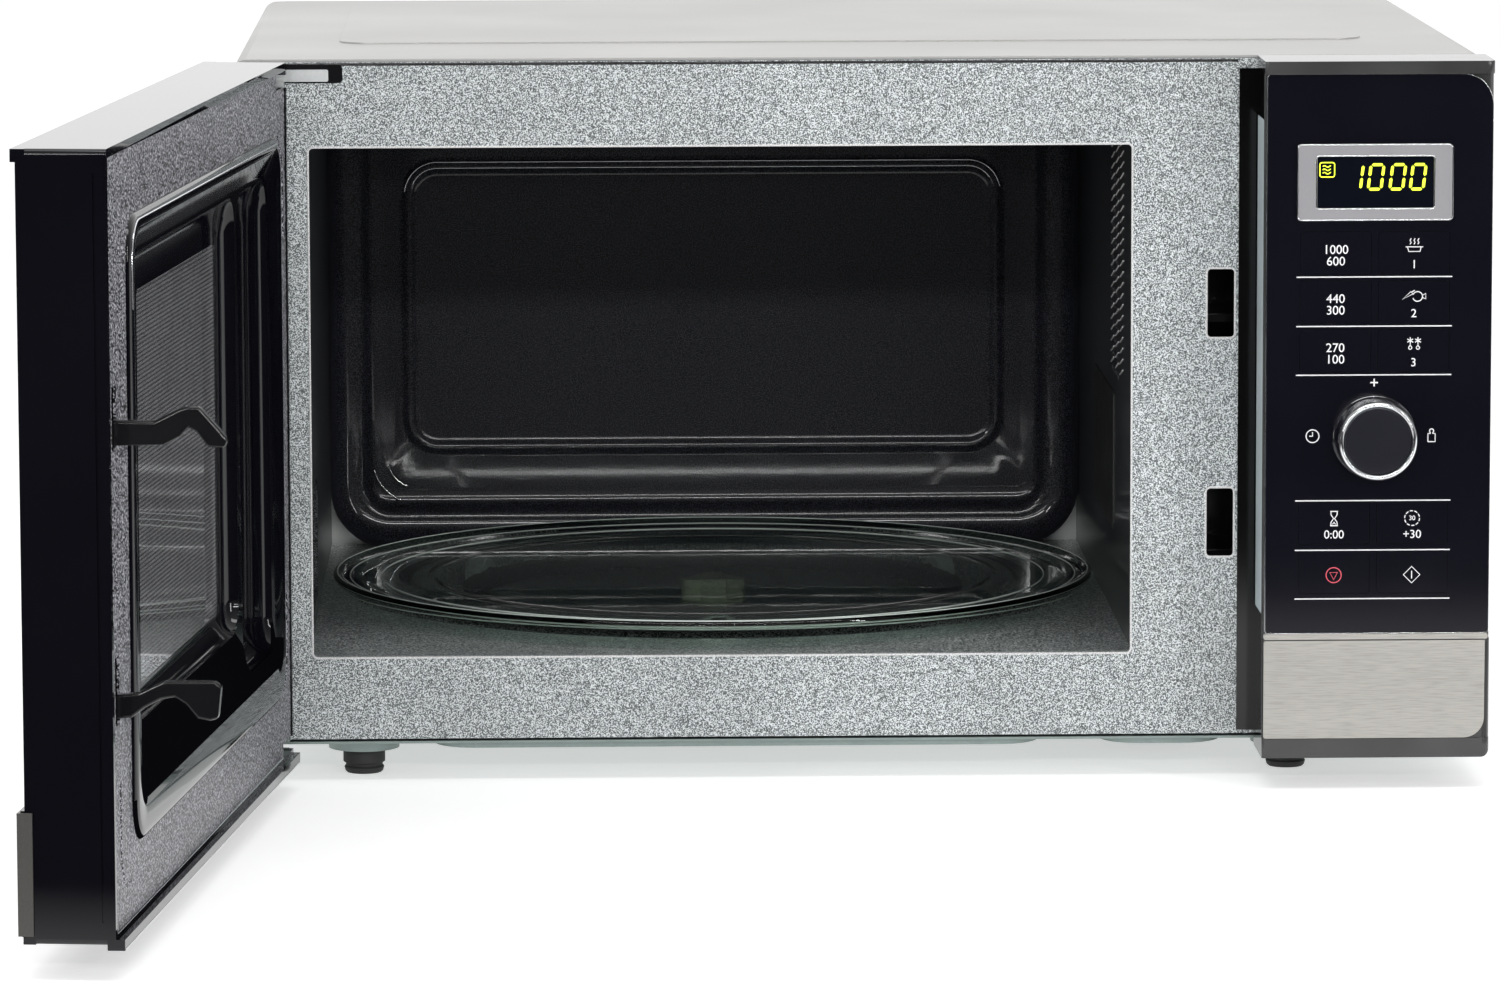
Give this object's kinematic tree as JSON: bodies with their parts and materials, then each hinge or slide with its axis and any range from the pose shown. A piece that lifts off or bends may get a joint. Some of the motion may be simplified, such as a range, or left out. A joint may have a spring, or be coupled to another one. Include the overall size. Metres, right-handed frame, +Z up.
{
  "type": "microwave oven",
  "caption": "Countertop microwave oven with side-hinged door standing open, glass turntable in the cavity, and a control panel with dial and key pads.",
  "frame": {"origin": "on the surface that the feet stand on, under the middle of the cabinet's width and depth", "axes": "+X to the right seen from the front, +Y to the back, +Z up"},
  "size_m": [0.5477, 0.761, 0.2851],
  "materials": {
    "cover_paint": "light silver paint, satin",
    "cavity_paint": "grey speckled enamel",
    "galvanised_steel": "galvanised sheet",
    "rubber": "matt black",
    "black_plastic": "satin black",
    "gloss_black": "high gloss black",
    "stainless": "fine brushed stainless",
    "grey_plastic": "satin grey",
    "dark_window": "dark tinted window",
    "board": "circuit board",
    "chrome": "polished",
    "aluminium": "bare",
    "mica": "pressed mica sheet",
    "white_plastic": "natural white",
    "ceramic": "lamp holder and glass",
    "beige_plastic": "heat-proof beige plastic",
    "tray_glass": "clear, slightly green",
    "door_glass": "black tinted glass"
  },
  "bodies": {
    "cabinet": {"outer_cover": "cover_paint", "front_plate": "cavity_paint", "cavity_left_wall": "cavity_paint", "cavity_right_wall": "cavity_paint", "cavity_ceiling": "cavity_paint", "cavity_floor": "cavity_paint", "cavity_rear_wall": "cavity_paint", "base_pan": "galvanised_steel", "rear_panel": "galvanised_steel", "feet": "rubber", "cord_gland": "black_plastic", "upper_hinge_bracket": "galvanised_steel", "lower_hinge_bracket": "galvanised_steel", "cover_screws": "galvanised_steel", "panel_housing": "gloss_black", "panel_overlay": "gloss_black", "panel_lower_trim": "stainless", "display_bezel": "grey_plastic", "display_window": "dark_window", "display_module": "grey_plastic", "control_board": "board", "dial_encoder": "galvanised_steel", "latch_board": "black_plastic", "interlock_switches": "black_plastic", "magnetron": "aluminium", "waveguide": "galvanised_steel", "waveguide_cover": "mica", "inverter_supply": "board", "noise_filter": "board", "fan_motor": "galvanised_steel", "air_duct": "white_plastic", "cavity_lamp": "ceramic", "turntable_motor": "galvanised_steel"},
    "door": {"door_frame": "gloss_black", "door_glass": "door_glass", "door_lower_trim": "stainless", "door_inner_plate": "cavity_paint", "door_screen": "cavity_paint", "door_choke_cover": "gloss_black", "latch_spring": "galvanised_steel"},
    "latch": {"latch_key": "black_plastic"},
    "coupler": {"turntable_coupler": "beige_plastic"},
    "tray": {"glass_tray": "tray_glass"},
    "ring": {"roller_ring": "black_plastic"},
    "roller_1": {"ring_roller_1": "white_plastic"},
    "roller_2": {"ring_roller_2": "white_plastic"},
    "roller_3": {"ring_roller_3": "white_plastic"},
    "fan": {"fan_blade": "white_plastic"},
    "dial": {"dial_knob": "black_plastic", "dial_ring": "chrome"},
    "key_power_high": {"key_power_high": "gloss_black"},
    "key_power_medium": {"key_power_medium": "gloss_black"},
    "key_power_low": {"key_power_low": "gloss_black"},
    "key_menu_soup": {"key_menu_soup": "gloss_black"},
    "key_menu_drink": {"key_menu_drink": "gloss_black"},
    "key_menu_meal": {"key_menu_meal": "gloss_black"},
    "key_timer": {"key_timer": "gloss_black"},
    "key_quick": {"key_quick": "gloss_black"},
    "key_stop": {"key_stop": "gloss_black"},
    "key_start": {"key_start": "gloss_black"}
  },
  "joints": [
    {"name": "door_swing", "type": "hinge", "parent": "cabinet", "child": "door", "pos_m": [-0.237, -0.19, 0.15], "axis": [0, 0, 1], "range_deg": [0, 96.9]},
    {"name": "latch_lift", "type": "slide", "parent": "door", "child": "latch", "axis": [0, 0, 1], "range_m": [0, 0.0045], "stiffness_N_per_m": 300, "springref_m": -0.006, "deforming": ["latch_spring"]},
    {"name": "turntable_spin", "type": "hinge", "parent": "cabinet", "child": "coupler", "pos_m": [-0.0544, 0.005, 0.045], "axis": [0, 0, 1], "continuous": true},
    {"name": "tray_lift", "type": "slide", "parent": "coupler", "child": "tray", "axis": [0, 0, 1], "range_m": [0, 0.12]},
    {"name": "ring_spin", "type": "hinge", "parent": "cabinet", "child": "ring", "pos_m": [-0.0544, 0.005, 0.04575], "axis": [0, 0, 1], "continuous": true},
    {"name": "roller_1_spin", "type": "hinge", "parent": "ring", "child": "roller_1", "pos_m": [-0.0544, -0.107, 0.04575], "axis": [0, -1, 0], "continuous": true},
    {"name": "roller_2_spin", "type": "hinge", "parent": "ring", "child": "roller_2", "pos_m": [0.0426, 0.061, 0.04575], "axis": [0.866, 0.5, 0], "continuous": true},
    {"name": "roller_3_spin", "type": "hinge", "parent": "ring", "child": "roller_3", "pos_m": [-0.1514, 0.061, 0.04575], "axis": [-0.866, 0.5, 0], "continuous": true},
    {"name": "fan_spin", "type": "hinge", "parent": "cabinet", "child": "fan", "pos_m": [0.18, 0.1545, 0.205], "axis": [0, 1, 0], "continuous": true},
    {"name": "dial_turn", "type": "hinge", "parent": "cabinet", "child": "dial", "pos_m": [0.198, -0.2125, 0.1386], "axis": [0, -1, 0], "continuous": true},
    {"name": "press_power_high", "type": "slide", "parent": "cabinet", "child": "key_power_high", "axis": [0, 1, 0], "range_m": [0, 0.0005], "stiffness_N_per_m": 1200, "springref_m": -0.0004},
    {"name": "press_power_medium", "type": "slide", "parent": "cabinet", "child": "key_power_medium", "axis": [0, 1, 0], "range_m": [0, 0.0005], "stiffness_N_per_m": 1200, "springref_m": -0.0004},
    {"name": "press_power_low", "type": "slide", "parent": "cabinet", "child": "key_power_low", "axis": [0, 1, 0], "range_m": [0, 0.0005], "stiffness_N_per_m": 1200, "springref_m": -0.0004},
    {"name": "press_menu_soup", "type": "slide", "parent": "cabinet", "child": "key_menu_soup", "axis": [0, 1, 0], "range_m": [0, 0.0005], "stiffness_N_per_m": 1200, "springref_m": -0.0004},
    {"name": "press_menu_drink", "type": "slide", "parent": "cabinet", "child": "key_menu_drink", "axis": [0, 1, 0], "range_m": [0, 0.0005], "stiffness_N_per_m": 1200, "springref_m": -0.0004},
    {"name": "press_menu_meal", "type": "slide", "parent": "cabinet", "child": "key_menu_meal", "axis": [0, 1, 0], "range_m": [0, 0.0005], "stiffness_N_per_m": 1200, "springref_m": -0.0004},
    {"name": "press_timer", "type": "slide", "parent": "cabinet", "child": "key_timer", "axis": [0, 1, 0], "range_m": [0, 0.0005], "stiffness_N_per_m": 1200, "springref_m": -0.0004},
    {"name": "press_quick", "type": "slide", "parent": "cabinet", "child": "key_quick", "axis": [0, 1, 0], "range_m": [0, 0.0005], "stiffness_N_per_m": 1200, "springref_m": -0.0004},
    {"name": "press_stop", "type": "slide", "parent": "cabinet", "child": "key_stop", "axis": [0, 1, 0], "range_m": [0, 0.0005], "stiffness_N_per_m": 1200, "springref_m": -0.0004},
    {"name": "press_start", "type": "slide", "parent": "cabinet", "child": "key_start", "axis": [0, 1, 0], "range_m": [0, 0.0005], "stiffness_N_per_m": 1200, "springref_m": -0.0004}
  ],
  "couplings": [
    {"joint": "ring_spin", "follows": "turntable_spin", "ratio": 0.5},
    {"joint": "roller_1_spin", "follows": "turntable_spin", "ratio": -8.3582},
    {"joint": "roller_2_spin", "follows": "turntable_spin", "ratio": -8.3582},
    {"joint": "roller_3_spin", "follows": "turntable_spin", "ratio": -8.3582}
  ]
}
